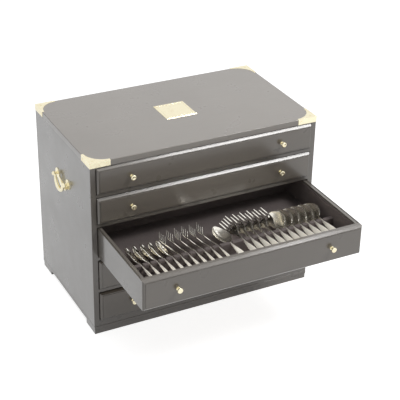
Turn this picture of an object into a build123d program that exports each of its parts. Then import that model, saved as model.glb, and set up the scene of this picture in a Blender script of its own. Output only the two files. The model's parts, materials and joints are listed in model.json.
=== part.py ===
from build123d import *
import math
import os

os.makedirs("parts", exist_ok=True)

# A silverware chest with five drawers, millimetres.
# X runs to the right, -Y to the front and +Z up.
# The origin is the centre of the chest's footprint on the table.

# Carcass
chest_width = 540.0
foot_height = 11.0
foot_batten_depth = 50.0
foot_inset = 1.0
foot_spine_width = 40.0
base_thickness = 9.0
base_edge_chamfer = 1.2
top_thickness = 13.0
top_edge_radius = 1.5
side_thickness = 12.0
side_edge_radius = 0.8
back_thickness = 6.0
back_inset = 1.0

# Rails between the drawers and the strips that carry the drawers
rail_height = 8.0
rail_depth = 40.0
rail_edge_radius = 0.6
bottom_rail_height = 13.5
reveal = 2.0
runner_width = 20.0
running_gap = 0.3
stop_width = 18.0
stop_length = 12.7
stop_height = 20.0
stop_rise = 6.0
stop_gap = 0.3

# Drawers, numbered from the top
shallow_face_height = 58.5
deep_face_height = 69.0
shallow_drawers = (1, 2)
deep_drawers = (3, 4, 5)
open_drawer = 3
open_drawer_pull = 222.0
side_clearance = 1.5
face_thickness = 6.5
field_rise = 1.0
lip_width = 6.0
lip_bevel = 3.2
joint_groove = 1.4
front_wall_thickness = 9.5
side_wall_thickness = 9.5
rim_groove_inset = 1.6
rim_groove_width = 1.8
rim_groove_depth = 2.0
back_wall_thickness = 9.0
drawer_box_depth = 300.0
drawer_bottom_rise = 3.0
drawer_bottom_thickness = 5.0

# Felt lining
felt_floor_thickness = 3.0
felt_wall_thickness = 2.0
felt_below_rim = 4.0
divider_thickness = 6.0
divider_below_rim = 10.0
divider_offset = 82.0
pad_thickness = 5.0
pad_from_face = 198.5

# Knobs
knob_offset = 180.0
knob_head_diameter = 12.0
knob_head_thickness = 4.6
knob_rim_thickness = 1.4
knob_crown_radius = 1.9
knob_dish_depth = 0.6
knob_stand_off = 12.0
knob_stem_diameter = 5.0
knob_foot_diameter = 8.6
knob_foot_thickness = 1.2
knob_shank_diameter = 4.0
knob_nut_diameter = 9.0
knob_nut_thickness = 2.5
knob_nut_recess = 3.0

# Corner brackets
bracket_arm = 46.0
bracket_flange_height = 12.5
bracket_thickness = 1.2
bracket_proud = 0.5
bracket_cut_radius = 42.0
bracket_cut_centre = 46.7
bracket_cut_height = 5.0
screw_head_diameter = 4.0
screw_head_thickness = 0.6
screw_shank_diameter = 1.6
screw_shank_length = 8.0
screw_top_offset = 10.0
screw_flange_offset = 38.0

# Plaque on the top
plaque_size = 73.0
plaque_thickness = 2.0
plaque_proud = 1.2
plaque_bevel = 0.8
plaque_line_inset = 5.0
plaque_line_width = 0.7
plaque_line_depth = 0.25
plaque_pin_inset = 3.0
plaque_pin_diameter = 1.6
plaque_pin_length = 7.0
plaque_pin_head_diameter = 2.6
plaque_pin_head_thickness = 0.4

# Side handles
handle_height = 312.0
post_spacing = 62.0
plate_thickness = 1.5
rosette_diameter = 23.0
plate_upper_sag = 7.0
plate_lower_sag = 26.0
post_stem_diameter = 5.0
post_collar_diameter = 9.0
post_collar_thickness = 1.5
post_ball_diameter = 10.0
hinge_stand_off = 9.2
post_shank_diameter = 4.0
handle_nut_diameter = 8.5
handle_nut_thickness = 3.0
handle_nut_recess = 3.4
bail_half_span = 22.6
bail_drop = 24.0
bail_end_radius = 2.8
bail_middle_radius = 4.4
pivot_radius = 1.5
pivot_clearance = 0.05
pivot_reach = 30.5
pivot_bore_depth_past_pin = 0.6

# Cutlery
cutlery_tilt = 46.0
cutlery_pitch = 17.8
serving_x = -6.0
serving_gap_left = 29.0
serving_gap_right = 30.0
left_wall_margin = 32.0
right_wall_margin = 25.2
forks_in_a_group = 6
cutlery_axis_rise = 38.0
cutlery_end_gap = 0.5
cutlery_thickness = 2.0
handle_end_thickness = 6.8
handle_end_half_width = 7.8
handle_end_rise = 1.2
handle_shoulder = 50.0
handle_shoulder_thickness = 5.4
handle_shoulder_half_width = 5.9
handle_shoulder_rise = 0.4
neck_half_width = 2.5
handle_taper_end = 75.0
neck_flat_middle = 81.0
neck_flat_end = 88.0
neck_end = 114.0
neck_dip = 4.0
fork_length = 178.0
fork_shoulder = 138.0
fork_half_width = 11.5
tine_root = 148.0
tine_width = 3.2
tine_count = 4
fork_shoulder_dip = 7.4
tine_bend = 157.0
tine_bend_dip = 9.8
fork_tip_rise = 1.9
spoon_length = 161.5
spoon_bowl_length = 60.0
spoon_bowl_width = 37.0
spoon_bowl_depth = 9.0
spoon_neck_rise = -3.4
serving_length = 162.0
serving_bowl_length = 70.0
serving_bowl_width = 35.0
serving_bowl_depth = 9.0
bowl_wall = 1.5
bowl_rim_rise = -1.0
neck_overlap = 9.0

# Notched rests that hold the cutlery
neck_rest_from_face = 95.0
neck_rest_depth = 10.0
neck_rest_above_axis = 3.5
notch_clearance = 0.6
notch_floor_gap = 0.25
handle_rest_from_face = 24.0
handle_rest_depth = 12.0

# Heights that follow from the sizes above
base_bottom_z = foot_height
base_top_z = foot_height + base_thickness
bottom_rail_top_z = base_top_z + bottom_rail_height
face_heights = {}
for number in shallow_drawers:
    face_heights[number] = shallow_face_height
for number in deep_drawers:
    face_heights[number] = deep_face_height
drawer_numbers = sorted(face_heights)
face_low = {}
runner_low = {}
rail_low = {}
level = bottom_rail_top_z
for number in reversed(drawer_numbers):
    face_low[number] = level + reveal
    runner_low[number] = level - rail_height
    level = face_low[number] + face_heights[number] + reveal
    rail_low[number] = level
    if number != drawer_numbers[0]:
        level = level + rail_height
runner_low[drawer_numbers[-1]] = base_top_z
case_top_z = level
chest_height = case_top_z + top_thickness

# Widths and depths that follow
chest_depth = drawer_box_depth + stop_gap + stop_length + back_thickness + back_inset
half_width = chest_width / 2
half_depth = chest_depth / 2
inner_half_width = half_width - side_thickness
face_half_width = inner_half_width - side_clearance
front_y = -half_depth
face_front_y = front_y - face_thickness
box_inner_half_width = face_half_width - side_wall_thickness
box_front_inner_y = front_y + front_wall_thickness
box_back_y = front_y + drawer_box_depth
box_back_inner_y = box_back_y - back_wall_thickness
back_front_y = half_depth - back_inset - back_thickness
runner_front_y = front_y + rail_depth
felt_front_y = box_front_inner_y + felt_wall_thickness
felt_back_y = box_back_inner_y - felt_wall_thickness
felt_half_width = box_inner_half_width - felt_wall_thickness


def block(x0, x1, y0, y1, z0, z1):
    """A box between two opposite corners."""
    solid = Box(abs(x1 - x0), abs(y1 - y0), abs(z1 - z0))
    return Pos((x0 + x1) / 2, (y0 + y1) / 2, (z0 + z1) / 2) * solid


def rod(radius, start, end):
    """A round bar between two points on a line along one of the axes."""
    length = math.dist(start, end)
    direction = tuple((e - s) / length for s, e in zip(start, end))
    return Plane(origin=start, z_dir=direction) * Cylinder(
        radius, length, align=(Align.CENTER, Align.CENTER, Align.MIN)
    )


def save(name, solids):
    """Write one piece, or one group of like pieces, to its own file."""
    whole = []
    for item in solids:
        whole.extend(item.solids())
    export_step(Compound(label=name, children=whole), f"parts/{name}.step")


def with_offset(solids, offset):
    """The same pieces, moved along Y."""
    return [Pos(0, offset, 0) * item for item in solids]


# Brackets: three thin flanges that meet at a corner of the top
bracket_outer = bracket_proud
bracket_inner = bracket_thickness - bracket_proud


def corner_bracket(sign_x, sign_y):
    corner_x = sign_x * half_width
    corner_y = sign_y * half_depth
    outer_x = sign_x * (half_width + bracket_outer)
    outer_y = sign_y * (half_depth + bracket_outer)
    arm_x = corner_x - sign_x * bracket_arm
    arm_y = corner_y - sign_y * bracket_arm
    top_z = chest_height + bracket_outer
    flange_low_z = chest_height - bracket_flange_height
    top_flange = block(outer_x, arm_x, outer_y, arm_y, top_z - bracket_thickness, top_z)
    cut_x = corner_x - sign_x * bracket_cut_centre
    cut_y = corner_y - sign_y * bracket_cut_centre
    cut = Pos(cut_x, cut_y, chest_height) * Cylinder(bracket_cut_radius, bracket_cut_height)
    top_flange = top_flange - cut
    end_flange = block(
        outer_x, arm_x, outer_y, corner_y - sign_y * bracket_inner, flange_low_z, top_z
    )
    side_flange = block(
        outer_x, corner_x - sign_x * bracket_inner, outer_y, arm_y, flange_low_z, top_z
    )
    return top_flange + end_flange + side_flange


def bracket_screws(sign_x, sign_y):
    """One screw in each flange: its head stands on the brass."""
    corner_x = sign_x * half_width
    corner_y = sign_y * half_depth
    middle_z = chest_height - bracket_flange_height / 2
    top_x = corner_x - sign_x * screw_top_offset
    top_y = corner_y - sign_y * screw_top_offset
    far_x = corner_x - sign_x * screw_flange_offset
    far_y = corner_y - sign_y * screw_flange_offset
    places = (
        ((top_x, top_y, chest_height + bracket_outer), (0, 0, 1)),
        ((far_x, corner_y + sign_y * bracket_outer, middle_z), (0, sign_y, 0)),
        ((corner_x + sign_x * bracket_outer, far_y, middle_z), (sign_x, 0, 0)),
    )
    screws = []
    for seat, out in places:
        tip = tuple(s - screw_shank_length * o for s, o in zip(seat, out))
        crown = tuple(s + screw_head_thickness * o for s, o in zip(seat, out))
        shank = rod(screw_shank_diameter / 2, tip, seat)
        head = rod(screw_head_diameter / 2, seat, crown)
        screws.append(shank + head)
    return screws


bracket_names = {
    (-1, -1): "corner_bracket_front_left",
    (1, -1): "corner_bracket_front_right",
    (-1, 1): "corner_bracket_rear_left",
    (1, 1): "corner_bracket_rear_right",
}
brackets = {}
screws = []
for corner in bracket_names:
    own_screws = bracket_screws(*corner)
    bracket = corner_bracket(*corner)
    for screw in own_screws:
        bracket = bracket - screw
    brackets[corner] = bracket
    screws.extend(own_screws)

# Plaque: a bevelled square plate with an engraved line and four pins
half_plaque = plaque_size / 2
plaque_top_z = chest_height + plaque_proud
plaque = block(
    -half_plaque,
    half_plaque,
    -half_plaque,
    half_plaque,
    plaque_top_z - plaque_thickness,
    plaque_top_z,
)
plaque = chamfer(plaque.faces().sort_by(Axis.Z)[-1].edges(), plaque_bevel)
line_outer = plaque_size - 2 * plaque_line_inset
line_inner = line_outer - 2 * plaque_line_width
line_cut = Box(line_outer, line_outer, 2 * plaque_line_depth) - Box(
    line_inner, line_inner, 2 * plaque_line_depth
)
plaque = plaque - Pos(0, 0, plaque_top_z) * line_cut
plaque_pins = []
pin_place = half_plaque - plaque_pin_inset
for sign_x in (-1, 1):
    for sign_y in (-1, 1):
        x = sign_x * pin_place
        y = sign_y * pin_place
        seat_z = plaque_top_z
        shank = rod(plaque_pin_diameter / 2, (x, y, seat_z - plaque_pin_length), (x, y, seat_z))
        head = rod(
            plaque_pin_head_diameter / 2, (x, y, seat_z), (x, y, seat_z + plaque_pin_head_thickness)
        )
        pin = shank + head
        plaque_pins.append(pin)
        plaque = plaque - pin

# Top, with its edges eased and its recesses for the brass let in
top_panel = block(-half_width, half_width, front_y, half_depth, case_top_z, chest_height)
top_panel = fillet(top_panel.faces().sort_by(Axis.Z)[-1].edges(), top_edge_radius)
for corner in bracket_names:
    top_panel = top_panel - brackets[corner]
for screw in screws:
    top_panel = top_panel - screw
top_panel = top_panel - plaque
for pin in plaque_pins:
    top_panel = top_panel - pin
top_panel = max(top_panel.solids(), key=lambda solid: solid.volume)

# Base board, with both long edges bevelled so that a line shows above and below it
base_panel = block(-half_width, half_width, front_y, half_depth, base_bottom_z, base_top_z)
base_low_edges = base_panel.faces().sort_by(Axis.Z)[0].edges()
base_high_edges = base_panel.faces().sort_by(Axis.Z)[-1].edges()
base_panel = chamfer(base_low_edges + base_high_edges, base_edge_chamfer)

# Feet: a batten across the front and the back, joined by a spine under the middle
foot_half_width = half_width - foot_inset
foot_half_depth = half_depth - foot_inset
foot_inner_y = foot_half_depth - foot_batten_depth
feet = [
    block(-foot_half_width, foot_half_width, -foot_half_depth, -foot_inner_y, 0, foot_height),
    block(-foot_half_width, foot_half_width, foot_inner_y, foot_half_depth, 0, foot_height),
    block(-foot_spine_width / 2, foot_spine_width / 2, -foot_inner_y, foot_inner_y, 0, foot_height),
]

# Side handles: a plate with two rosettes, two posts, their nuts and a hanging bail
post_y = post_spacing / 2


def handle_plate(sign):
    """A crescent between two round rosettes, flat on the side of the case."""
    inner_x = sign * half_width
    outer_x = sign * (half_width + plate_thickness)
    rear = (-post_y, handle_height)
    front = (post_y, handle_height)
    upper = ThreePointArc(rear, (0, handle_height - plate_upper_sag), front)
    lower = ThreePointArc(front, (0, handle_height - plate_lower_sag), rear)
    outline = Plane.YZ * make_face([upper, lower])
    plate = Pos(inner_x, 0, 0) * extrude(outline, amount=plate_thickness, dir=(sign, 0, 0))
    for y in (-post_y, post_y):
        rosette = rod(rosette_diameter / 2, (inner_x, y, handle_height), (outer_x, y, handle_height))
        plate = plate + rosette
    return plate


def handle_post(sign, y):
    """A turned post whose shank goes through the plate and the side."""
    plate_x = sign * (half_width + plate_thickness)
    collar_x = plate_x + sign * post_collar_thickness
    hinge_x = sign * (half_width + hinge_stand_off)
    shank_x = sign * (inner_half_width + handle_nut_recess - handle_nut_thickness)
    height = handle_height
    post = rod(post_shank_diameter / 2, (shank_x, y, height), (plate_x, y, height))
    post = post + rod(post_collar_diameter / 2, (plate_x, y, height), (collar_x, y, height))
    post = post + rod(post_stem_diameter / 2, (collar_x, y, height), (hinge_x, y, height))
    post = post + Pos(hinge_x, y, height) * Sphere(post_ball_diameter / 2)
    side = math.copysign(1, y)
    bore_end = side * (pivot_reach + pivot_bore_depth_past_pin)
    bore_start = side * (post_y - post_ball_diameter)
    bore = rod(
        pivot_radius + pivot_clearance, (hinge_x, bore_start, height), (hinge_x, bore_end, height)
    )
    return post - bore


def handle_nut(sign, y):
    """A round nut let into the inner face of the side."""
    low_x = sign * (inner_half_width + handle_nut_recess - handle_nut_thickness)
    high_x = sign * (inner_half_width + handle_nut_recess)
    nut = rod(handle_nut_diameter / 2, (low_x, y, handle_height), (high_x, y, handle_height))
    hole = rod(post_shank_diameter / 2, (low_x, y, handle_height), (high_x, y, handle_height))
    return nut - hole


def bail(sign):
    """A swelling bar, hanging as a bow between its two pivot pins."""
    hinge_x = sign * (half_width + hinge_stand_off)
    start = (hinge_x, -bail_half_span, handle_height)
    middle = (hinge_x, 0, handle_height - bail_drop)
    end = (hinge_x, bail_half_span, handle_height)
    path = ThreePointArc(start, middle, end)
    sections = []
    for share, radius in ((0, bail_end_radius), (0.5, bail_middle_radius), (1, bail_end_radius)):
        place = Plane(origin=path @ share, z_dir=path % share)
        sections.append(place * Circle(radius))
    bar = sweep(sections, path=path, multisection=True)
    for side in (-1, 1):
        knuckle_y = side * bail_half_span
        knuckle = Pos(hinge_x, knuckle_y, handle_height) * Sphere(bail_end_radius)
        pin = rod(
            pivot_radius,
            (hinge_x, knuckle_y, handle_height),
            (hinge_x, side * pivot_reach, handle_height),
        )
        bar = bar + knuckle + pin
    return bar


plates = []
posts = []
nuts = []
bails = {}
for sign in (-1, 1):
    plate = handle_plate(sign)
    for y in (-post_y, post_y):
        post = handle_post(sign, y)
        posts.append(post)
        nuts.append(handle_nut(sign, y))
        plate = plate - post
    plates.append(plate)
    bails[sign] = bail(sign)


def side_panel(sign):
    """A side of the case, drilled for the posts and recessed for their nuts."""
    panel = block(
        sign * inner_half_width, sign * half_width, front_y, half_depth, base_top_z, case_top_z
    )
    outer_face = panel.faces().sort_by(Axis.X)[0 if sign < 0 else -1]
    panel = fillet(outer_face.edges().filter_by(Axis.Z), side_edge_radius)
    recess_low = sign * (inner_half_width - side_thickness)
    recess_high = sign * (inner_half_width + handle_nut_recess)
    outside = sign * (half_width + side_thickness)
    for y in (-post_y, post_y):
        recess = rod(
            handle_nut_diameter / 2, (recess_low, y, handle_height), (recess_high, y, handle_height)
        )
        hole = rod(
            post_shank_diameter / 2, (recess_low, y, handle_height), (outside, y, handle_height)
        )
        panel = panel - recess - hole
    return panel


back_panel = block(
    -inner_half_width,
    inner_half_width,
    back_front_y,
    back_front_y + back_thickness,
    base_top_z,
    case_top_z,
)

# Rails, runners and stops of the five bays
bottom_rail = block(
    -inner_half_width, inner_half_width, front_y, runner_front_y, base_top_z, bottom_rail_top_z
)
rails = []
for number in drawer_numbers[1:]:
    low = rail_low[number]
    rail = block(
        -inner_half_width, inner_half_width, front_y, runner_front_y, low, low + rail_height
    )
    front_edges = rail.faces().sort_by(Axis.Y)[0].edges().filter_by(Axis.X)
    rails.append(fillet(front_edges, rail_edge_radius))
runners = []
stops = []
for number in drawer_numbers:
    runner_high = face_low[number] - running_gap
    stop_low = face_low[number] + stop_rise
    for sign in (-1, 1):
        wall_x = sign * inner_half_width
        runner_x = sign * (inner_half_width - runner_width)
        stop_x = sign * (inner_half_width - stop_width)
        runners.append(
            block(
                wall_x, runner_x, runner_front_y, back_front_y, runner_low[number], runner_high
            )
        )
        stop_front_y = back_front_y - stop_length
        stops.append(
            block(wall_x, stop_x, stop_front_y, back_front_y, stop_low, stop_low + stop_height)
        )


def knob(x, height):
    """A turned mushroom knob whose shank goes through the drawer's front."""
    foot_y = face_front_y - knob_foot_thickness
    head_back_y = face_front_y - knob_stand_off + knob_head_thickness
    head_front_y = face_front_y - knob_stand_off
    shank_y = box_front_inner_y - knob_nut_recess + knob_nut_thickness
    rim_radius = knob_head_diameter / 2
    stem_radius = knob_stem_diameter / 2
    crown_y = head_front_y + knob_crown_radius
    rim_y = crown_y + knob_rim_thickness
    crown_x = rim_radius - knob_crown_radius
    bow = knob_crown_radius * math.sin(math.radians(45))
    dish_y = head_front_y + knob_dish_depth
    half = [
        Line((0, head_back_y), (stem_radius, head_back_y)),
        Line((stem_radius, head_back_y), (rim_radius, rim_y)),
        Line((rim_radius, rim_y), (rim_radius, crown_y)),
        ThreePointArc(
            (rim_radius, crown_y), (crown_x + bow, crown_y - bow), (crown_x, head_front_y)
        ),
        Line((crown_x, head_front_y), (0, dish_y)),
        Line((0, dish_y), (0, head_back_y)),
    ]
    head = Pos(x, 0, height) * revolve(make_face(half), Axis.Y)
    solid = head + rod(stem_radius, (x, foot_y, height), (x, head_back_y, height))
    solid = solid + rod(knob_foot_diameter / 2, (x, face_front_y, height), (x, foot_y, height))
    return solid + rod(knob_shank_diameter / 2, (x, shank_y, height), (x, face_front_y, height))


def knob_nut(x, height):
    """A round nut let into the inner face of the drawer's front wall."""
    low_y = box_front_inner_y - knob_nut_recess
    high_y = low_y + knob_nut_thickness
    nut = rod(knob_nut_diameter / 2, (x, low_y, height), (x, high_y, height))
    return nut - rod(knob_shank_diameter / 2, (x, low_y, height), (x, high_y, height))


def drawer_shell(number):
    """The wooden pieces and the knobs of one drawer, shut."""
    low = face_low[number]
    high = low + face_heights[number]
    middle = (low + high) / 2
    bottom_low = low + drawer_bottom_rise
    bottom_high = bottom_low + drawer_bottom_thickness
    lip_front_y = face_front_y + field_rise
    face = block(-face_half_width, face_half_width, lip_front_y, front_y, low, high)
    face = chamfer(face.faces().sort_by(Axis.Y)[0].edges(), lip_bevel)
    rear_edges = face.faces().sort_by(Axis.Y)[-1].edges()
    face = chamfer(rear_edges.sort_by(Axis.Z)[-1], joint_groove)
    field_half_width = face_half_width - lip_width
    field = block(
        -field_half_width,
        field_half_width,
        face_front_y,
        lip_front_y + field_rise,
        low + lip_width,
        high - lip_width,
    )
    face = face + field
    wall = block(-face_half_width, face_half_width, front_y, box_front_inner_y, low, high)
    wall_edges = wall.faces().sort_by(Axis.Y)[0].edges()
    wall = chamfer(wall_edges.sort_by(Axis.Z)[-1], joint_groove)
    knobs = []
    for x in (-knob_offset, knob_offset):
        turned = knob(x, middle)
        nut = knob_nut(x, middle)
        face = face - turned
        recess = rod(
            knob_nut_diameter / 2,
            (x, box_front_inner_y - knob_nut_recess, middle),
            (x, box_front_inner_y, middle),
        )
        wall = wall - turned - recess
        knobs.extend([turned, nut])
    sides = []
    for sign in (-1, 1):
        side = block(
            sign * box_inner_half_width,
            sign * face_half_width,
            box_front_inner_y,
            box_back_y,
            low,
            high,
        )
        groove_outer = sign * (face_half_width - rim_groove_inset)
        groove_inner = sign * (face_half_width - rim_groove_inset - rim_groove_width)
        groove = block(
            groove_outer,
            groove_inner,
            box_front_inner_y,
            box_back_y,
            high - rim_groove_depth,
            high + rim_groove_depth,
        )
        sides.append(side - groove)
    back = block(
        -box_inner_half_width, box_inner_half_width, box_back_inner_y, box_back_y, low, high
    )
    bottom = block(
        -box_inner_half_width,
        box_inner_half_width,
        box_front_inner_y,
        box_back_inner_y,
        bottom_low,
        bottom_high,
    )
    return {
        "face": [face],
        "box_front": [wall],
        "box_sides": sides,
        "box_back": [back],
        "box_bottom": [bottom],
        "knobs": knobs,
    }


def felt_lining(number):
    """Felt on the floor and on the four walls of one drawer, shut."""
    low = face_low[number] + drawer_bottom_rise + drawer_bottom_thickness
    floor_top = low + felt_floor_thickness
    high = face_low[number] + face_heights[number] - felt_below_rim
    pieces = [
        block(
            -box_inner_half_width,
            box_inner_half_width,
            box_front_inner_y,
            box_back_inner_y,
            low,
            floor_top,
        ),
        block(
            -box_inner_half_width,
            box_inner_half_width,
            box_front_inner_y,
            felt_front_y,
            floor_top,
            high,
        ),
        block(
            -box_inner_half_width,
            box_inner_half_width,
            felt_back_y,
            box_back_inner_y,
            floor_top,
            high,
        ),
    ]
    for sign in (-1, 1):
        pieces.append(
            block(
                sign * felt_half_width,
                sign * box_inner_half_width,
                felt_front_y,
                felt_back_y,
                floor_top,
                high,
            )
        )
    return pieces


# Cutlery, each piece along +Y with its handle's end at the origin
handle_outline = [
    (0, handle_end_half_width),
    (handle_shoulder, handle_shoulder_half_width),
    (handle_taper_end, neck_half_width),
]
handle_profile = [
    (0, handle_end_rise, handle_end_thickness),
    (handle_shoulder, handle_shoulder_rise, handle_shoulder_thickness),
    (handle_taper_end, 0, cutlery_thickness),
    (neck_flat_middle, 0, cutlery_thickness),
    (neck_flat_end, 0, cutlery_thickness),
]
plan_height = 40.0


def outline_prism(points, height):
    """A symmetric outline in plan, pulled straight up and down."""
    right = [(half, along) for along, half in points]
    left = [(-half, along) for along, half in reversed(points)]
    face = make_face(Polyline(*right, *left, close=True))
    return Pos(0, 0, -height / 2) * extrude(face, amount=height)


def bent_sheet(points, half_span):
    """A strip along Y through points that give its place, rise and thickness."""
    high = [(along, rise + thickness / 2) for along, rise, thickness in points]
    low = [(along, rise - thickness / 2) for along, rise, thickness in points]
    upper = Spline(*high)
    lower = Spline(*low)
    front = Line(high[0], low[0])
    rear = Line(high[-1], low[-1])
    face = Plane.YZ * make_face([upper, lower, front, rear])
    return Pos(-half_span, 0, 0) * extrude(face, amount=2 * half_span, dir=(1, 0, 0))


def make_fork():
    points = handle_outline + [
        (neck_end, neck_half_width),
        (fork_shoulder, fork_half_width),
        (fork_length, fork_half_width),
    ]
    plan = outline_prism(points, plan_height)
    gap = (2 * fork_half_width - tine_count * tine_width) / (tine_count - 1)
    for index in range(tine_count - 1):
        slot_x = -fork_half_width + tine_width + index * (tine_width + gap)
        slot_end = fork_length + tine_width
        slot = block(slot_x, slot_x + gap, tine_root, slot_end, -plan_height, plan_height)
        plan = plan - slot
    profile = handle_profile + [
        (neck_end, -neck_dip, cutlery_thickness),
        (fork_shoulder, -fork_shoulder_dip, cutlery_thickness),
        (tine_bend, -tine_bend_dip, cutlery_thickness),
        (fork_length, fork_tip_rise, cutlery_thickness),
    ]
    return plan & bent_sheet(profile, fork_half_width)


def barrel(half_length, end_radius, middle_radius):
    """A solid of revolution about Y whose outline bulges in the middle."""
    curve = ThreePointArc((end_radius, -half_length), (middle_radius, 0), (end_radius, half_length))
    rear = Line((end_radius, half_length), (0, half_length))
    axis_line = Line((0, half_length), (0, -half_length))
    front = Line((0, -half_length), (end_radius, -half_length))
    return revolve(make_face([curve, rear, axis_line, front]), Axis.Y)


def spoon_bowl(length, width, depth):
    """A thin shell, hollow side up, with its rim on the plane z = 0."""
    half = width / 2
    middle_radius = (half**2 + depth**2) / (2 * depth)
    rim_height = middle_radius - depth
    outer = barrel(length / 2, rim_height, middle_radius)
    inner = barrel(length / 2, rim_height - bowl_wall, middle_radius - bowl_wall)
    shell = Pos(0, 0, rim_height) * (outer - inner)
    keep = Pos(0, 0, -width) * Box(2 * width, 2 * length, 2 * width)
    return shell & keep


def make_spoon(length, bowl_length, bowl_width, bowl_depth):
    bowl_start = length - bowl_length
    points = handle_outline + [(bowl_start + neck_overlap, neck_half_width)]
    plan = outline_prism(points, plan_height)
    profile = handle_profile + [
        (bowl_start + bowl_wall, spoon_neck_rise, cutlery_thickness),
        (bowl_start + neck_overlap, bowl_rim_rise - bowl_depth / 2, cutlery_thickness),
    ]
    stem = plan & bent_sheet(profile, handle_end_half_width)
    bowl = Pos(0, bowl_start + bowl_length / 2, bowl_rim_rise) * spoon_bowl(
        bowl_length, bowl_width, bowl_depth
    )
    return stem + bowl


fork = make_fork()
spoon = make_spoon(spoon_length, spoon_bowl_length, spoon_bowl_width, spoon_bowl_depth)
serving_spoon = make_spoon(
    serving_length, serving_bowl_length, serving_bowl_width, serving_bowl_depth
)

# Places of the cutlery across the drawer: kind, place and tilt.
# Spoons fill what the forks leave free between the serving spoon and each side wall.
left_first_x = left_wall_margin - felt_half_width
left_last_x = serving_x - serving_gap_left
right_first_x = serving_x + serving_gap_right
right_last_x = felt_half_width - right_wall_margin
left_count = math.floor(round((left_last_x - left_first_x) / cutlery_pitch, 6)) + 1
right_count = math.floor(round((right_last_x - right_first_x) / cutlery_pitch, 6)) + 1
places = []
for index in range(left_count):
    kind = "fork" if index >= left_count - forks_in_a_group else "spoon"
    places.append((kind, left_last_x - (left_count - 1 - index) * cutlery_pitch, cutlery_tilt))
places.append(("serving", serving_x, 0.0))
for index in range(right_count):
    kind = "fork" if index < forks_in_a_group else "spoon"
    places.append((kind, right_first_x + index * cutlery_pitch, -cutlery_tilt))
cutlery_z = face_low[open_drawer] + cutlery_axis_rise
cutlery_end_y = felt_front_y + cutlery_end_gap
prototypes = {"spoon": spoon, "fork": fork, "serving": serving_spoon}
cutlery = {"spoon": [], "fork": [], "serving": []}
for kind, x, tilt in places:
    turn = Pos(x, cutlery_end_y, cutlery_z) * Rot(0, tilt, 0)
    cutlery[kind].append(turn * prototypes[kind])

# A pad under the cutlery carries its rests: a notched bar and a plain one
floor_z = (
    face_low[open_drawer] + drawer_bottom_rise + drawer_bottom_thickness + felt_floor_thickness
)
pad_top_z = floor_z + pad_thickness
pad_back_y = face_front_y + pad_from_face
pad = block(-felt_half_width, felt_half_width, felt_front_y, pad_back_y, floor_z, pad_top_z)
neck_rest_y = face_front_y + neck_rest_from_face
neck_rest = block(
    -felt_half_width,
    felt_half_width,
    neck_rest_y,
    neck_rest_y + neck_rest_depth,
    pad_top_z,
    cutlery_z + neck_rest_above_axis,
)
for kind, x, tilt in places:
    lean = math.radians(abs(tilt))
    reach = neck_half_width * math.cos(lean) + cutlery_thickness / 2 * math.sin(lean)
    drop = neck_half_width * math.sin(lean) + cutlery_thickness / 2 * math.cos(lean)
    notch = block(
        x - reach - notch_clearance,
        x + reach + notch_clearance,
        neck_rest_y - neck_rest_depth,
        neck_rest_y + 2 * neck_rest_depth,
        cutlery_z - drop - notch_floor_gap,
        cutlery_z + 2 * neck_rest_above_axis,
    )
    neck_rest = neck_rest - notch
handle_rest_y = face_front_y + handle_rest_from_face
lean = math.radians(cutlery_tilt)
handle_drop = handle_end_half_width * math.sin(lean) + handle_end_thickness / 2 * math.cos(lean)
handle_rest = block(
    -felt_half_width,
    felt_half_width,
    handle_rest_y,
    handle_rest_y + handle_rest_depth,
    pad_top_z,
    cutlery_z - handle_drop,
)

# Write every piece
save("top_panel", [top_panel])
save("side_panel_left", [side_panel(-1)])
save("side_panel_right", [side_panel(1)])
save("back_panel", [back_panel])
save("base_panel", [base_panel])
save("feet", feet)
save("front_rails", rails)
save("bottom_rail", [bottom_rail])
save("runners", runners)
save("drawer_stops", stops)
for corner, name in bracket_names.items():
    save(name, [brackets[corner]])
save("bracket_screws", screws)
save("plaque", [plaque])
save("plaque_pins", plaque_pins)
save("handle_plates", plates)
save("handle_posts", posts)
save("handle_nuts", nuts)
save("bail_left", [bails[-1]])
save("bail_right", [bails[1]])
for number in drawer_numbers:
    offset = -open_drawer_pull if number == open_drawer else 0
    shell = drawer_shell(number)
    for part, solids in shell.items():
        save(f"drawer_{number}_{part}", with_offset(solids, offset))
    tray = felt_lining(number)
    if number == open_drawer:
        tray.extend([pad, neck_rest, handle_rest])
    if number in shallow_drawers:
        floor = face_low[number] + drawer_bottom_rise + drawer_bottom_thickness
        floor = floor + felt_floor_thickness
        rim = face_low[number] + face_heights[number] - divider_below_rim
        for sign in (-1, 1):
            near = sign * (divider_offset - divider_thickness / 2)
            far = sign * (divider_offset + divider_thickness / 2)
            tray.append(block(near, far, felt_front_y, felt_back_y, floor, rim))
    save(f"drawer_{number}_tray", with_offset(tray, offset))
save("spoons", with_offset(cutlery["spoon"], -open_drawer_pull))
save("forks", with_offset(cutlery["fork"], -open_drawer_pull))
save("serving_spoon", with_offset(cutlery["serving"], -open_drawer_pull))
print("height", chest_height, "nodes", len(os.listdir("parts")))
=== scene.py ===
import json
import math

import bpy
from mathutils import Matrix, Vector


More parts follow.
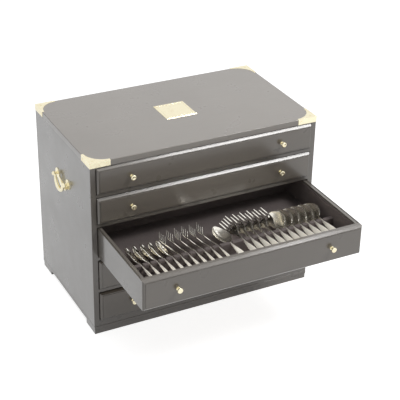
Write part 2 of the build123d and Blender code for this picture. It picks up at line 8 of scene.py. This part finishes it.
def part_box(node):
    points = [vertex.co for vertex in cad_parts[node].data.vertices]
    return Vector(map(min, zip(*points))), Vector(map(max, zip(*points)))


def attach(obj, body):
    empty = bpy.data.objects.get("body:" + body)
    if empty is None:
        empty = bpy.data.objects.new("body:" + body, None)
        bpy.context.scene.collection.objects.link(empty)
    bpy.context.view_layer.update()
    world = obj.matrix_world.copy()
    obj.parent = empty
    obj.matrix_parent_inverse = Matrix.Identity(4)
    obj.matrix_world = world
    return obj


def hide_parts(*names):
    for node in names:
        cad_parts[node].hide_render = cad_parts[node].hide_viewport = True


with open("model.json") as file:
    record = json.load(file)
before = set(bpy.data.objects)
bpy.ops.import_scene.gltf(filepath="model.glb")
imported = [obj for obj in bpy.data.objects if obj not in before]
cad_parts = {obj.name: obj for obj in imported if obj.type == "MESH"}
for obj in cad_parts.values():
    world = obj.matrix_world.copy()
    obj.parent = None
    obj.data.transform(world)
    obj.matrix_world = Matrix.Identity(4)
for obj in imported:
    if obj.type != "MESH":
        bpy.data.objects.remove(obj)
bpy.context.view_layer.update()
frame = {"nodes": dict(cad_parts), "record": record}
nodes = frame["nodes"]
mm = 0.001

# ---------------------------------------------------------------- materials


class Material:
    """A node material built step by step around one Principled shader."""

    def __init__(self, name):
        self.material = bpy.data.materials.new(name)
        self.material.use_nodes = True
        self.tree = self.material.node_tree
        self.shader = self.tree.nodes["Principled BSDF"]
        coordinates = self.tree.nodes.new("ShaderNodeTexCoord")
        self.position = coordinates.outputs["Object"]

    def link(self, start, end):
        self.tree.links.new(start, end)

    def set(self, **values):
        for name, value in values.items():
            self.shader.inputs[name.replace("_", " ")].default_value = value

    def mapped(self, scale):
        """The object's own coordinates, stretched by a scale on each axis."""
        node = self.tree.nodes.new("ShaderNodeMapping")
        node.inputs["Scale"].default_value = scale
        self.link(self.position, node.inputs["Vector"])
        return node.outputs["Vector"]

    def noise(self, scale, detail=3.0, roughness=0.5, vector=None, distortion=0.0):
        node = self.tree.nodes.new("ShaderNodeTexNoise")
        node.inputs["Scale"].default_value = scale
        node.inputs["Detail"].default_value = detail
        node.inputs["Roughness"].default_value = roughness
        node.inputs["Distortion"].default_value = distortion
        self.link(self.position if vector is None else vector, node.inputs["Vector"])
        return node.outputs["Fac"]

    def remap(self, value, low, high, to_low, to_high):
        node = self.tree.nodes.new("ShaderNodeMapRange")
        node.inputs["From Min"].default_value = low
        node.inputs["From Max"].default_value = high
        node.inputs["To Min"].default_value = to_low
        node.inputs["To Max"].default_value = to_high
        self.link(value, node.inputs["Value"])
        return node.outputs["Result"]

    def mix(self, factor, first, second):
        """Mixes two colours, each a colour or the output of another node."""
        node = self.tree.nodes.new("ShaderNodeMix")
        node.data_type = "RGBA"
        sockets = [s for s in node.inputs if s.type == "RGBA"]
        self.link(factor, node.inputs[0])
        for socket, value in zip(sockets, (first, second)):
            if isinstance(value, tuple):
                socket.default_value = (*value, 1.0)
            else:
                self.link(value, socket)
        return [s for s in node.outputs if s.type == "RGBA"][0]

    def add(self, first, second, share):
        """first + share * second, for two outputs that carry plain values."""
        node = self.tree.nodes.new("ShaderNodeMath")
        node.operation = "MULTIPLY_ADD"
        self.link(second, node.inputs[0])
        node.inputs[1].default_value = share
        self.link(first, node.inputs[2])
        return node.outputs["Value"]

    def bump(self, height, strength, distance, round_edges=0.0):
        """Fine relief, over edges softened by round_edges where that isn't zero."""
        node = self.tree.nodes.new("ShaderNodeBump")
        node.inputs["Strength"].default_value = strength
        node.inputs["Distance"].default_value = distance
        self.link(height, node.inputs["Height"])
        if round_edges:
            bevel = self.tree.nodes.new("ShaderNodeBevel")
            bevel.samples = 4
            bevel.inputs["Radius"].default_value = round_edges
            self.link(bevel.outputs["Normal"], node.inputs["Normal"])
        self.link(node.outputs["Normal"], self.shader.inputs["Normal"])

    def colour(self, output):
        self.link(output, self.shader.inputs["Base Color"])

    def roughness(self, output):
        self.link(output, self.shader.inputs["Roughness"])


def lacquer(name, colour, grain_scale=(9.0, 130.0, 130.0), gloss=0.30):
    """Lacquered wood: a soft mottle, grain just showing through, and a satin film."""
    m = Material(name)
    darker = tuple(c * 0.94 for c in colour)
    lighter = tuple(min(1.0, c * 1.05) for c in colour)
    cloud = m.noise(5.0, 3.0, 0.50)
    base = m.mix(m.remap(cloud, 0.30, 0.70, 0.0, 1.0), darker, lighter)
    grain = m.noise(1.0, 5.0, 0.6, m.mapped(grain_scale), 0.6)
    fine = m.noise(1.0, 2.0, 0.5, m.mapped(tuple(4.0 * s for s in grain_scale)))
    streak = tuple(c * 0.86 for c in colour)
    base = m.mix(m.remap(grain, 0.50, 0.80, 0.0, 0.30), base, streak)
    base = m.mix(m.remap(fine, 0.50, 0.80, 0.0, 0.20), base, streak)
    m.colour(base)
    m.roughness(m.remap(m.noise(18.0, 3.0, 0.5), 0.3, 0.7, gloss - 0.04, gloss + 0.06))
    height = m.add(grain, m.noise(900.0, 2.0, 0.5), 0.35)
    m.bump(height, 0.06, 0.00015, 0.0006)
    m.set(Coat_Weight=1.0, Coat_Roughness=0.15, Coat_IOR=1.5, IOR=1.5)
    return m.material


def bare_wood(name, colour):
    """Planed wood with darker annual lines along its length."""
    m = Material(name)
    darker = tuple(c * 0.62 for c in colour)
    lines = m.noise(1.0, 6.0, 0.62, m.mapped((120.0, 6.0, 120.0)), 1.2)
    base = m.mix(m.remap(lines, 0.35, 0.68, 0.0, 1.0), colour, darker)
    m.colour(base)
    m.roughness(m.remap(m.noise(60.0, 3.0), 0.3, 0.7, 0.58, 0.76))
    m.bump(lines, 0.25, 0.0004, 0.0006)
    m.set(IOR=1.45)
    return m.material


def felt(name, colour):
    """Dense wool felt: matted fibres, a slight nap and rubbed patches."""
    m = Material(name)
    darker = tuple(c * 0.62 for c in colour)
    lighter = tuple(c * 1.45 for c in colour)
    fibre = m.noise(1500.0, 5.0, 0.75, None, 1.8)
    nap = m.noise(26.0, 4.0, 0.6)
    base = m.mix(m.remap(fibre, 0.32, 0.68, 0.0, 1.0), darker, lighter)
    base = m.mix(m.remap(nap, 0.45, 0.75, 0.0, 0.35), base, tuple(c * 1.25 for c in colour))
    m.colour(base)
    m.roughness(m.remap(fibre, 0.2, 0.8, 0.86, 1.0))
    m.bump(m.add(fibre, m.noise(420.0, 3.0), 0.8), 0.55, 0.0006, 0.0012)
    m.set(Sheen_Weight=0.35, Sheen_Roughness=0.45, Specular_IOR_Level=0.15)
    m.set(Sheen_Tint=(0.62, 0.55, 0.52, 1.0))
    return m.material


def metal(name, colour, tarnish, gloss, scratch_scale):
    """Polished metal with handling smudges, hairline scratches and a little tarnish."""
    m = Material(name)
    smudge = m.noise(55.0, 4.0, 0.6)
    base = m.mix(m.remap(smudge, 0.50, 0.78, 0.0, 0.35), colour, tarnish)
    m.colour(base)
    m.roughness(m.remap(m.noise(130.0, 4.0, 0.62), 0.3, 0.75, gloss, gloss + 0.14))
    hair = m.noise(1.0, 3.0, 0.7, m.mapped(scratch_scale))
    m.bump(m.add(hair, m.noise(260.0, 2.0), 0.5), 0.07, 0.00012, 0.0003)
    m.set(Metallic=1.0)
    return m.material


SATIN_END = 0.060
POLISH_START = 0.100
HANDLE_ROUGHNESS = 0.64
HEAD_ROUGHNESS = 0.185


def flatware(name, colour, tarnish):
    """Silver plate: handles brushed along their length, necks and heads polished."""
    m = Material(name)
    smudge = m.noise(70.0, 4.0, 0.6)
    base = m.mix(m.remap(smudge, 0.50, 0.78, 0.0, 0.30), colour, tarnish)
    m.colour(base)
    split = m.tree.nodes.new("ShaderNodeSeparateXYZ")
    m.link(m.position, split.inputs["Vector"])
    satin = m.remap(split.outputs["Y"], SATIN_END, POLISH_START, HANDLE_ROUGHNESS, HEAD_ROUGHNESS)
    m.roughness(m.add(satin, m.noise(180.0, 4.0, 0.6), 0.08))
    hair = m.noise(1.0, 3.0, 0.7, m.mapped((1100.0, 28.0, 1100.0)))
    m.bump(m.add(hair, m.noise(240.0, 2.0), 0.4), 0.10, 0.00012)
    m.set(Metallic=1.0)
    return m.material


# The lid's lacquer is coloured lighter than the case's and the drawers': painted light, standing in for the
# top light falling on the lid.
LID_PAINTED_LIGHTER = (0.330, 0.296, 0.262)
CASE = (0.205, 0.184, 0.162)
DRAWER = (0.208, 0.182, 0.154)
INNER = (0.200, 0.178, 0.154)
BARE = (0.46, 0.36, 0.25)
FELT = (0.185, 0.157, 0.151)
BRASS = (0.92, 0.85, 0.62)
BRASS_TARNISH = (0.66, 0.50, 0.26)
SILVER = (0.95, 0.92, 0.84)
SILVER_TARNISH = (0.78, 0.72, 0.58)
STEEL = (0.60, 0.58, 0.55)
STEEL_TARNISH = (0.42, 0.40, 0.37)

finish = {
    "lacquer_top": lacquer("lacquer_top", LID_PAINTED_LIGHTER),
    "lacquer_case": lacquer("lacquer_case", CASE, (130.0, 130.0, 9.0)),
    "lacquer_drawer": lacquer("lacquer_drawer", DRAWER),
    "lacquer_inner": lacquer("lacquer_inner", INNER, (130.0, 9.0, 130.0)),
    "bare_wood": bare_wood("bare_wood", BARE),
    "felt": felt("felt", FELT),
    "brass": metal("brass", BRASS, BRASS_TARNISH, 0.16, (30.0, 900.0, 900.0)),
    "steel": metal("steel", STEEL, STEEL_TARNISH, 0.28, (900.0, 900.0, 60.0)),
    "silver": flatware("silver", SILVER, SILVER_TARNISH),
}
slot_of = {s["node"]: s["material_slot"] for s in frame["record"]["subparts"]}
for name, item in nodes.items():
    item.data.materials.clear()
    item.data.materials.append(finish[slot_of[name]])

# ---------------------------------------------------------------- mesh making

PLATE_SMOOTHING = 2


def mesh_object(name, points, faces, material):
    mesh = bpy.data.meshes.new(name)
    mesh.from_pydata(points, [], faces)
    mesh.validate()
    mesh.update()
    for polygon in mesh.polygons:
        polygon.use_smooth = True
    mesh.materials.append(material)
    item = bpy.data.objects.new(name, mesh)
    bpy.context.scene.collection.objects.link(item)
    return item


def blend_between(value, knots):
    """A smooth step between knots, each a place and a size there."""
    if value <= knots[0][0]:
        return knots[0][1]
    for (start, low), (end, high) in zip(knots, knots[1:]):
        if value <= end:
            t = (value - start) / (end - start)
            return low + (high - low) * t * t * (3 - 2 * t)
    return knots[-1][1]


def straight_between(value, knots):
    """A straight line between knots, each a place and a size there."""
    if value <= knots[0][0]:
        return knots[0][1]
    for (start, low), (end, high) in zip(knots, knots[1:]):
        if value <= end:
            return low + (high - low) * (value - start) / (end - start)
    return knots[-1][1]


def plate(name, rows, columns, mask, place, material):
    """A closed thin plate. place(row, column) gives x, y, upper z and lower z in
    millimetres, and mask(row, column) says which of its cells are metal."""
    points = []
    for row in range(rows + 1):
        for column in range(columns + 1):
            x, y, high, low = place(row, column)
            points.append((x * mm, y * mm, high * mm))
            points.append((x * mm, y * mm, low * mm))

    def upper(row, column):
        return 2 * (row * (columns + 1) + column)

    def lower(row, column):
        return upper(row, column) + 1

    def metal_at(row, column):
        return 0 <= row < rows and 0 <= column < columns and mask(row, column)

    faces = []
    for row in range(rows):
        for column in range(columns):
            if not mask(row, column):
                continue
            corners = [(row, column), (row, column + 1), (row + 1, column + 1), (row + 1, column)]
            faces.append([upper(*c) for c in corners])
            faces.append([lower(*c) for c in reversed(corners)])
            sides = [
                ((row - 1, column), corners[0], corners[1]),
                ((row, column + 1), corners[1], corners[2]),
                ((row + 1, column), corners[2], corners[3]),
                ((row, column - 1), corners[3], corners[0]),
            ]
            for neighbour, first, second in sides:
                if not metal_at(*neighbour):
                    faces.append([upper(*second), upper(*first), lower(*first), lower(*second)])
    used = sorted({index for face in faces for index in face})
    renumber = {old: new for new, old in enumerate(used)}
    item = mesh_object(
        name,
        [points[index] for index in used],
        [[renumber[index] for index in face] for face in faces],
        material,
    )
    modifier = item.modifiers.new("smooth", "SUBSURF")
    modifier.levels = PLATE_SMOOTHING
    modifier.render_levels = PLATE_SMOOTHING
    return item


def applied(item):
    """The same object with its modifiers worked into its mesh."""
    bpy.context.view_layer.update()
    graph = bpy.context.evaluated_depsgraph_get()
    mesh = bpy.data.meshes.new_from_object(item.evaluated_get(graph))
    item.modifiers.clear()
    item.data = mesh
    return item


# ---------------------------------------------------------------- cutlery

# Lengths are in millimetres, and y runs along a piece from its handle's end.

HANDLE_END = 8.0
SHOULDER = 50.0
TAPER_END = 75.0
NECK = 2.5
NECK_THICKNESS = 2.1
NECK_FLAT_END = 88.0
CROWN_FALL = 0.22
HANDLE_ROWS = [0.0, 1.2, 3.5, HANDLE_END, 20.0, 35.0, SHOULDER, 65.0, TAPER_END, 81.0, NECK_FLAT_END]


def handle_half_width(y):
    knots = [
        (0.0, 6.2),
        (1.2, 7.1),
        (3.5, 7.5),
        (HANDLE_END, 7.5),
        (SHOULDER, 5.8),
        (TAPER_END, NECK),
    ]
    return straight_between(y, knots)


def handle_thickness(y):
    knots = [(0.0, 5.8), (1.6, 6.6), (6.0, 6.5), (SHOULDER, 5.4), (TAPER_END, NECK_THICKNESS)]
    return straight_between(y, knots)


def handle_centre(y):
    return straight_between(y, [(0.0, 1.2), (SHOULDER, 0.4), (TAPER_END, 0.0)])


FORK_LENGTH = 178.0
FORK_HALF = 11.5
TINE_ROOT = 147.0
TINE = 3.2
TINES = 4


def fork_mesh(name, material):
    """A fork: a grid of metal whose rows past the root leave the gaps between tines open."""
    neck_rows = [96.0, 104.0, 111.0, 117.0, 122.0, 127.0, 133.0, 140.0, TINE_ROOT]
    tine_rows = [148.5, 152.0, 156.0, 160.0, 165.0, 171.0, 176.0, FORK_LENGTH]
    ys = HANDLE_ROWS + neck_rows + tine_rows
    gap = (2 * FORK_HALF - TINES * TINE) / (TINES - 1)
    lines = []
    for tine in range(TINES):
        start = -FORK_HALF + tine * (TINE + gap)
        lines.extend([start, start + TINE / 2, start + TINE])
    head = [(NECK_FLAT_END, NECK), (112.0, 2.8), (122.0, 6.4), (130.0, 10.2), (138.0, FORK_HALF)]
    rise = [
        (NECK_FLAT_END, 0.0),
        (101.0, -2.2),
        (114.0, -4.1),
        (126.0, -5.9),
        (138.0, -7.6),
        (147.0, -9.0),
        (154.0, -9.9),
        (159.0, -9.3),
        (166.0, -5.8),
        (FORK_LENGTH, 1.9),
    ]
    slimming = [(TINE_ROOT, 1.0), (172.0, 0.80), (176.5, 0.6), (FORK_LENGTH, 0.35)]
    root_row = ys.index(TINE_ROOT)

    def half_width(y):
        if y <= NECK_FLAT_END:
            return handle_half_width(y)
        return blend_between(y, head)

    def place(row, column):
        y = ys[row]
        share = lines[column] / FORK_HALF
        x = share * half_width(y)
        if row > root_row:
            tine = column // 3
            middle = -FORK_HALF + tine * (TINE + gap) + TINE / 2
            x = middle + (lines[column] - middle) * straight_between(y, slimming)
        centre = handle_centre(y) if y < NECK_FLAT_END else straight_between(y, rise)
        cup = 1.1 * share * share * blend_between(y, [(112.0, 0.0), (136.0, 1.0)])
        thick = handle_thickness(y)
        if y > NECK_FLAT_END:
            thick = straight_between(y, [(NECK_FLAT_END, NECK_THICKNESS), (140.0, 2.0), (FORK_LENGTH, 1.6)])
        crown = thick / 2 * (1 - CROWN_FALL * share * share)
        return x, y, centre + cup + crown, centre + cup - crown

    def mask(row, column):
        return row < root_row or column % 3 != 2

    return plate(name, len(ys) - 1, len(lines) - 1, mask, place, material)


BOWL_RIM_RISE = -1.0
SPOON = {"length": 161.5, "bowl_length": 60.0, "bowl_width": 37.0, "depth": 8.0}
SERVING_SPOON = {"length": 162.0, "bowl_length": 70.0, "bowl_width": 35.0, "depth": 8.5}


def spoon_mesh(name, material, length, bowl_length, bowl_width, depth):
    """A spoon, with an egg-shaped bowl whose rim lies a little under the handle."""
    start = length - bowl_length
    bowl_rows = [0.0, 0.04, 0.09, 0.15, 0.23, 0.32, 0.42, 0.52, 0.62, 0.72, 0.81, 0.88, 0.94, 0.98, 1.0]
    ys = HANDLE_ROWS + [(NECK_FLAT_END + start) / 2 + 1.0]
    first_bowl = len(ys)
    ys = ys + [start + share * bowl_length for share in bowl_rows]
    shares = [math.sin(math.pi / 2 * t / 6.0) for t in range(-6, 7)]
    half = bowl_width / 2

    def bowl_half_width(share):
        egg = math.sin(math.pi * min(1.0, share) ** 0.88) ** 0.60 if 0 < share < 1 else 0.0
        return max(egg * half, NECK * (1 - share) ** 3, 0.35)

    def place(row, column):
        y = ys[row]
        share = shares[column]
        if row < first_bowl:
            x = share * handle_half_width(y)
            centre = handle_centre(y)
            if y > NECK_FLAT_END:
                centre = -2.0
            crown = handle_thickness(y) / 2 * (1 - CROWN_FALL * share * share)
            return x, y, centre + crown, centre - crown
        along = bowl_rows[row - first_bowl]
        width = bowl_half_width(along)
        x = share * width
        hollow = depth * math.sin(math.pi * min(1.0, along) ** 0.92) ** 0.80 if 0 < along < 1 else 0.0
        rim = blend_between(along, [(0.0, -2.6), (0.25, BOWL_RIM_RISE), (0.8, BOWL_RIM_RISE), (1.0, -0.4)])
        bowl = rim - hollow * (1 - abs(share) ** 2.2)
        wall = straight_between(along, [(0.0, 2.2), (0.15, 1.5), (1.0, 1.1)])
        return x, y, bowl, bowl - wall

    return plate(name, len(ys) - 1, len(shares) - 1, lambda row, column: True, place, material)


CUTLERY_TILT = 46.0
PITCH = 17.8
LEFT_FIRST = -213.0
RIGHT_FIRST = 24.0
SERVING_X = -6.0
AXIS_ABOVE_FACE_FOOT = 38.0
SPOONS_LEFT, FORKS_LEFT, FORKS_RIGHT, SPOONS_RIGHT = 5, 6, 6, 6

end_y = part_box("serving_spoon")[0].y
axis_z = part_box("drawer_3_face")[0].z + AXIS_ABOVE_FACE_FOOT * mm

prototypes = {
    "spoon": applied(spoon_mesh("spoon_shape", finish["silver"], **SPOON)),
    "fork": applied(fork_mesh("fork_shape", finish["silver"])),
    "serving": applied(spoon_mesh("serving_shape", finish["silver"], **SERVING_SPOON)),
}
placed = []
for index in range(SPOONS_LEFT + FORKS_LEFT):
    kind = "spoon" if index < SPOONS_LEFT else "fork"
    placed.append((kind, LEFT_FIRST + index * PITCH, CUTLERY_TILT))
placed.append(("serving", SERVING_X, 0.0))
for index in range(FORKS_RIGHT + SPOONS_RIGHT):
    kind = "fork" if index < FORKS_RIGHT else "spoon"
    placed.append((kind, RIGHT_FIRST + index * PITCH, -CUTLERY_TILT))
counts = {"spoon": 0, "fork": 0, "serving": 0}
for kind, x, tilt in placed:
    counts[kind] += 1
    name = "serving_spoon_piece" if kind == "serving" else f"{kind}_{counts[kind]:02d}"
    item = bpy.data.objects.new(name, prototypes[kind].data)
    bpy.context.scene.collection.objects.link(item)
    turn = Matrix.Rotation(math.radians(tilt), 4, "Y")
    item.matrix_world = Matrix.Translation((x * mm, end_y, axis_z)) @ turn
    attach(item, "drawer_3")
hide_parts("spoons")
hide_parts("forks")
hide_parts("serving_spoon")
for item in prototypes.values():
    bpy.data.objects.remove(item)

# ---------------------------------------------------------------- camera
# Angles are in degrees and lengths in metres. Azimuth 0 looks at the drawers' fronts.

CAMERA_AZIMUTH = -27.4958
CAMERA_ELEVATION = 29.1248
CAMERA_ROLL = 1.1372
CAMERA_DISTANCE = 2.834142
CAMERA_ACROSS = 0.062953
CAMERA_UP = 0.169561
FOCAL_PIXELS = 1182.226
PICTURE_PIXELS = 400.0
SENSOR_WIDTH_MM = 36.0

azimuth = math.radians(CAMERA_AZIMUTH)
elevation = math.radians(CAMERA_ELEVATION)
roll = math.radians(CAMERA_ROLL)
back = Vector(
    (
        math.sin(azimuth) * math.cos(elevation),
        -math.cos(azimuth) * math.cos(elevation),
        math.sin(elevation),
    )
)
level_right = Vector((math.cos(azimuth), math.sin(azimuth), 0.0))
level_up = back.cross(level_right)
right = math.cos(roll) * level_right + math.sin(roll) * level_up
up = -math.sin(roll) * level_right + math.cos(roll) * level_up
eye = back * CAMERA_DISTANCE + right * CAMERA_ACROSS + up * CAMERA_UP
camera_data = bpy.data.cameras.new("camera")
camera_data.sensor_fit = "HORIZONTAL"
camera_data.sensor_width = SENSOR_WIDTH_MM
camera_data.lens = SENSOR_WIDTH_MM * FOCAL_PIXELS / PICTURE_PIXELS
camera_data.clip_start = 0.05
camera_data.clip_end = 50.0
camera = bpy.data.objects.new("camera", camera_data)
bpy.context.scene.collection.objects.link(camera)
camera.matrix_world = Matrix(
    (
        (right.x, up.x, back.x, eye.x),
        (right.y, up.y, back.y, eye.y),
        (right.z, up.z, back.z, eye.z),
        (0.0, 0.0, 0.0, 1.0),
    )
)
bpy.context.scene.camera = camera

# ---------------------------------------------------------------- light and floor

LIT_POINT = Vector((0.0, -0.1, 0.2))
SURROUNDINGS_DIM = 0.16
FLOOR_HALF_SIZE = 12.0
FLOOR_WHITENESS = 0.78
FLOOR_SEEN = 0.86
FLOOR_MIRRORED = 0.66


def softbox(name, direction, distance, size, power):
    """A square lamp, its distance and size in metres and its power in watts."""
    light = bpy.data.lights.new(name, "AREA")
    light.shape = "SQUARE"
    light.size = size
    light.energy = power
    item = bpy.data.objects.new(name, light)
    bpy.context.scene.collection.objects.link(item)
    away = Vector(direction).normalized()
    item.location = LIT_POINT + away * distance
    item.rotation_euler = away.to_track_quat("Z", "Y").to_euler()
    return item


# Mirrors show the white surroundings in the top light's place, and brass on the lid keeps its colour.
top_light = softbox("top_light", (-0.07, 0.143, 1.0), 2.6, 2.3, 17.5)
top_light.visible_glossy = False
softbox("front_right_light", (0.476, -0.422, 0.771), 2.75, 0.8, 25.5)

# The camera, mirrors and glass see white surroundings, and everything else dim ones.
world = bpy.data.worlds.new("world")
world.use_nodes = True
bpy.context.scene.world = world
tree = world.node_tree
tree.nodes.clear()
path = tree.nodes.new("ShaderNodeLightPath")
seen = tree.nodes.new("ShaderNodeMath")
seen.operation = "MAXIMUM"
tree.links.new(path.outputs["Is Camera Ray"], seen.inputs[0])
tree.links.new(path.outputs["Is Glossy Ray"], seen.inputs[1])
through = tree.nodes.new("ShaderNodeMath")
through.operation = "MAXIMUM"
tree.links.new(seen.outputs["Value"], through.inputs[0])
tree.links.new(path.outputs["Is Transmission Ray"], through.inputs[1])
dim = tree.nodes.new("ShaderNodeBackground")
dim.inputs["Color"].default_value = (0.97, 0.985, 1.0, 1.0)
dim.inputs["Strength"].default_value = SURROUNDINGS_DIM
bright = tree.nodes.new("ShaderNodeBackground")
bright.inputs["Color"].default_value = (1.0, 1.0, 1.0, 1.0)
bright.inputs["Strength"].default_value = 1.0
either = tree.nodes.new("ShaderNodeMixShader")
tree.links.new(through.outputs["Value"], either.inputs["Fac"])
tree.links.new(dim.outputs["Background"], either.inputs[1])
tree.links.new(bright.outputs["Background"], either.inputs[2])
output = tree.nodes.new("ShaderNodeOutputWorld")
tree.links.new(either.outputs["Shader"], output.inputs["Surface"])

# The floor takes the object's shadow, and glows for the camera and in mirrors.
floor = mesh_object(
    "floor",
    [
        (-FLOOR_HALF_SIZE, -FLOOR_HALF_SIZE, 0.0),
        (FLOOR_HALF_SIZE, -FLOOR_HALF_SIZE, 0.0),
        (FLOOR_HALF_SIZE, FLOOR_HALF_SIZE, 0.0),
        (-FLOOR_HALF_SIZE, FLOOR_HALF_SIZE, 0.0),
    ],
    [[0, 1, 2, 3]],
    bpy.data.materials.new("floor_white"),
)
floor_material = floor.data.materials[0]
floor_material.use_nodes = True
tree = floor_material.node_tree
tree.nodes.clear()
diffuse = tree.nodes.new("ShaderNodeBsdfDiffuse")
diffuse.inputs["Color"].default_value = (FLOOR_WHITENESS, FLOOR_WHITENESS, FLOOR_WHITENESS, 1.0)
glow = tree.nodes.new("ShaderNodeEmission")
glow.inputs["Color"].default_value = (1.0, 1.0, 1.0, 1.0)
path = tree.nodes.new("ShaderNodeLightPath")
mirrored = tree.nodes.new("ShaderNodeMath")
mirrored.operation = "MULTIPLY"
mirrored.inputs[1].default_value = FLOOR_MIRRORED
tree.links.new(path.outputs["Is Glossy Ray"], mirrored.inputs[0])
share = tree.nodes.new("ShaderNodeMath")
share.operation = "MULTIPLY_ADD"
share.inputs[1].default_value = FLOOR_SEEN
tree.links.new(path.outputs["Is Camera Ray"], share.inputs[0])
tree.links.new(mirrored.outputs["Value"], share.inputs[2])
tree.links.new(share.outputs["Value"], glow.inputs["Strength"])
both = tree.nodes.new("ShaderNodeAddShader")
tree.links.new(diffuse.outputs["BSDF"], both.inputs[0])
tree.links.new(glow.outputs["Emission"], both.inputs[1])
output = tree.nodes.new("ShaderNodeOutputMaterial")
tree.links.new(both.outputs["Shader"], output.inputs["Surface"])

bpy.context.scene.view_settings.view_transform = "Standard"
